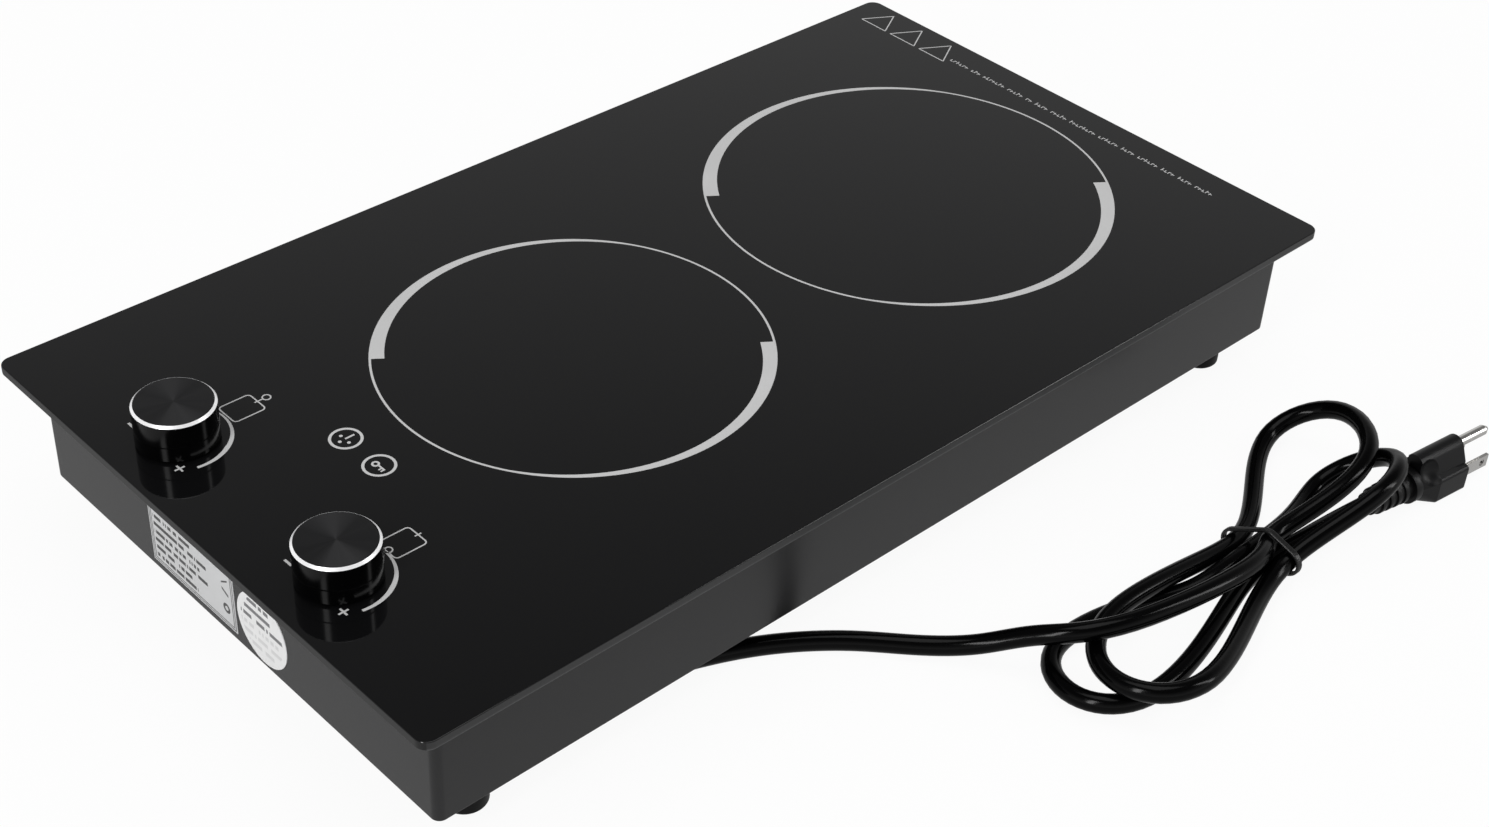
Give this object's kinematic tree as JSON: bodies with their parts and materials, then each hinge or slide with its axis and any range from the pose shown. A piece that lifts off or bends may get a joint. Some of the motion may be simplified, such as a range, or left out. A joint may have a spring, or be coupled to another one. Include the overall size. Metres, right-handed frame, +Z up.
{
  "type": "two-zone ceramic hot plate",
  "caption": "Countertop two-zone glass-ceramic hot plate with two turning knobs, two touch keys and a tied mains cord with a three-prong plug.",
  "frame": {"origin": "centre of the bounding box without the cord and plug, on the floor under the feet", "axes": "+Z up; -Y the front, where the knobs are; +X to the right of someone facing the front"},
  "size_m": [0.4137, 0.5106, 0.0915],
  "materials": {
    "black_glass": "gloss",
    "silicone": "matt",
    "steel": "satin",
    "zinc": "satin",
    "powder_coat": "satin",
    "foot_rubber": "matt",
    "label_foil": "satin",
    "label_paper": "satin",
    "board_green": "satin",
    "spring_brass": "satin",
    "board_tan": "satin",
    "relay_blue": "satin",
    "transformer_iron": "satin",
    "fuse_ceramic": "satin",
    "terminal_ceramic": "matt",
    "wire_red": "satin",
    "wire_blue": "satin",
    "cord_rubber": "satin",
    "collar_plastic": "satin",
    "plated_brass": "polished",
    "knob_black": "gloss",
    "knob_aluminium": "spun",
    "shaft_steel": "turned",
    "control_metal": "satin",
    "insulation": "matt",
    "ribbon_alloy": "matt",
    "limiter_ceramic": "matt"
  },
  "bodies": {
    "cooktop": {"glass_plate": "black_glass", "glass_seal": "silicone", "glass_frame": "steel", "frame_posts": "steel", "case_screws": "zinc", "housing_pan": "powder_coat", "feet": "foot_rubber", "foot_screws": "zinc", "foot_nuts": "zinc", "rating_plate": "label_foil", "inspection_sticker": "label_paper", "left_control_body": "control_metal", "left_control_nut": "zinc", "right_control_body": "control_metal", "right_control_nut": "zinc", "control_bracket": "steel", "control_board": "board_green", "touch_springs": "spring_brass", "board_standoffs": "spring_brass", "power_standoffs": "spring_brass", "power_board": "board_tan", "power_relays": "relay_blue", "power_transformer": "transformer_iron", "board_fuse": "fuse_ceramic", "mains_terminal": "terminal_ceramic", "board_screws": "zinc", "heat_shield": "steel", "floor_screws": "zinc", "front_heater_dish": "steel", "front_heater_base": "insulation", "front_heater_ring": "insulation", "front_heater_ribbon": "ribbon_alloy", "front_limiter": "limiter_ceramic", "front_heater_bars": "steel", "rear_heater_dish": "steel", "rear_heater_base": "insulation", "rear_heater_ring": "insulation", "rear_heater_ribbon": "ribbon_alloy", "rear_limiter": "limiter_ceramic", "rear_heater_bars": "steel", "heater_wires": "wire_red", "mains_leads": "wire_blue", "cord_boot": "cord_rubber", "boot_collar": "collar_plastic", "mains_cord": "cord_rubber", "cord_tie": "cord_rubber", "plug_body": "cord_rubber", "plug_blades": "plated_brass", "plug_ground_pin": "plated_brass"},
    "left_knob": {"left_knob_body": "knob_black", "left_knob_cap": "knob_aluminium", "left_shaft": "shaft_steel"},
    "right_knob": {"right_knob_body": "knob_black", "right_knob_cap": "knob_aluminium", "right_shaft": "shaft_steel"}
  },
  "joints": [
    {"name": "left_knob_turn", "type": "hinge", "parent": "cooktop", "child": "left_knob", "pos_m": [-0.054, -0.226, 0.082], "axis": [0, 0, -1], "range_deg": [0, 240]},
    {"name": "right_knob_turn", "type": "hinge", "parent": "cooktop", "child": "right_knob", "pos_m": [0.054, -0.226, 0.082], "axis": [0, 0, -1], "range_deg": [0, 240]}
  ]
}
